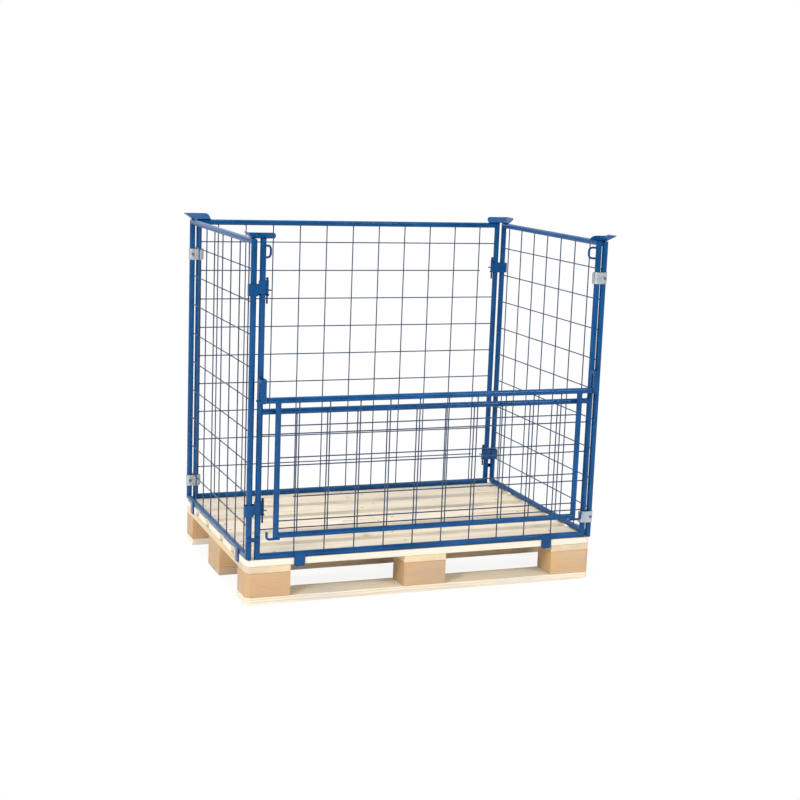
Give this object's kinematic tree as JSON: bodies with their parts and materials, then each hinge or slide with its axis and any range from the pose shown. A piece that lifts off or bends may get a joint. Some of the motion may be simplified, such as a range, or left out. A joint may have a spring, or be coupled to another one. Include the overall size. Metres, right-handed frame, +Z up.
{
  "type": "pallet cage",
  "caption": "Wooden pallet carrying a folding collar of tube and wire mesh panels, open at the upper front, with a drop gate, hinge corners and pin latches.",
  "frame": {"origin": "on the floor, at the middle of the pallet's footprint, under its middle skid", "axes": "+X along the pallet's 1200 mm length, -Y towards the open front with the gate, +Z up"},
  "size_m": [1.2358, 0.8501, 1.1596],
  "materials": {
    "pine": "sawn pale pine, planed faces with knots and grain",
    "blue_coat": "semi-gloss blue powder coat on round steel tube",
    "coated_wire": "thin blue-grey coating on drawn wire",
    "zinc": "dull galvanised steel with a faint spangle"
  },
  "bodies": {
    "pallet": {"skid_front": "pine", "skid_middle": "pine", "skid_back": "pine", "block_front_left": "pine", "block_front_middle": "pine", "block_front_right": "pine", "block_middle_left": "pine", "block_middle_middle": "pine", "block_middle_right": "pine", "block_back_left": "pine", "block_back_middle": "pine", "block_back_right": "pine", "stringer_left": "pine", "stringer_middle": "pine", "stringer_right": "pine", "deck_board_1": "pine", "deck_board_2": "pine", "deck_board_3": "pine", "deck_board_4": "pine", "deck_board_5": "pine"},
    "side_panels": {"side_frame_left": "blue_coat", "side_frame_right": "blue_coat", "side_mesh_left": "coated_wire", "side_mesh_right": "coated_wire", "stacking_corner_front_left": "blue_coat", "stacking_corner_front_right": "blue_coat", "stacking_corner_back_left": "blue_coat", "stacking_corner_back_right": "blue_coat", "hinge_strap_front_upper": "zinc", "hinge_strap_front_lower": "zinc", "hinge_strap_back_upper": "zinc", "hinge_strap_back_lower": "zinc", "hinge_rivet_front_upper": "zinc", "hinge_rivet_front_lower": "zinc", "hinge_rivet_back_upper": "zinc", "hinge_rivet_back_lower": "zinc", "latch_strap_front_upper": "blue_coat", "latch_strap_front_lower": "blue_coat", "latch_strap_back_upper": "blue_coat", "latch_strap_back_lower": "blue_coat"},
    "back_panel": {"back_frame": "blue_coat", "back_mesh": "coated_wire", "latch_barrel_back_upper": "blue_coat", "latch_barrel_back_lower": "blue_coat"},
    "front_panel": {"front_frame": "blue_coat", "front_mesh": "coated_wire", "latch_barrel_front_upper": "blue_coat", "latch_barrel_front_lower": "blue_coat", "guide_sleeve_left": "blue_coat", "guide_sleeve_right": "blue_coat"},
    "gate_slide": {"pivot_collar_left": "zinc", "pivot_collar_right": "zinc"},
    "gate": {"gate_frame": "blue_coat", "gate_mesh": "coated_wire"},
    "lock_pin_front_upper": {"lock_pin_front_upper": "blue_coat"},
    "lock_pin_front_lower": {"lock_pin_front_lower": "blue_coat"},
    "lock_pin_back_upper": {"lock_pin_back_upper": "blue_coat"},
    "lock_pin_back_lower": {"lock_pin_back_lower": "blue_coat"}
  },
  "joints": [
    {"name": "collar_lift", "type": "slide", "parent": "pallet", "child": "side_panels", "axis": [0, 0, 1], "range_m": [0, 0.05]},
    {"name": "front_panel_swing", "type": "hinge", "parent": "side_panels", "child": "front_panel", "pos_m": [0.569, -0.392, 0.637], "axis": [0, 0, 1], "range_deg": [0, 25]},
    {"name": "back_panel_swing", "type": "hinge", "parent": "side_panels", "child": "back_panel", "pos_m": [-0.569, 0.392, 0.637], "axis": [0, 0, 1], "range_deg": [0, 110]},
    {"name": "gate_lift", "type": "slide", "parent": "front_panel", "child": "gate_slide", "axis": [0, 0, 1], "range_m": [0, 0.05]},
    {"name": "gate_swing", "type": "hinge", "parent": "gate_slide", "child": "gate", "pos_m": [0.0025, -0.417, 0.65], "axis": [-1, 0, 0], "range_deg": [0, 180]},
    {"name": "lock_pin_front_upper_lift", "type": "slide", "parent": "front_panel", "child": "lock_pin_front_upper", "axis": [0, 0, 1], "range_m": [0, 0.031]},
    {"name": "lock_pin_front_lower_lift", "type": "slide", "parent": "front_panel", "child": "lock_pin_front_lower", "axis": [0, 0, 1], "range_m": [0, 0.031]},
    {"name": "lock_pin_back_upper_lift", "type": "slide", "parent": "back_panel", "child": "lock_pin_back_upper", "axis": [0, 0, 1], "range_m": [0, 0.031]},
    {"name": "lock_pin_back_lower_lift", "type": "slide", "parent": "back_panel", "child": "lock_pin_back_lower", "axis": [0, 0, 1], "range_m": [0, 0.031]}
  ]
}
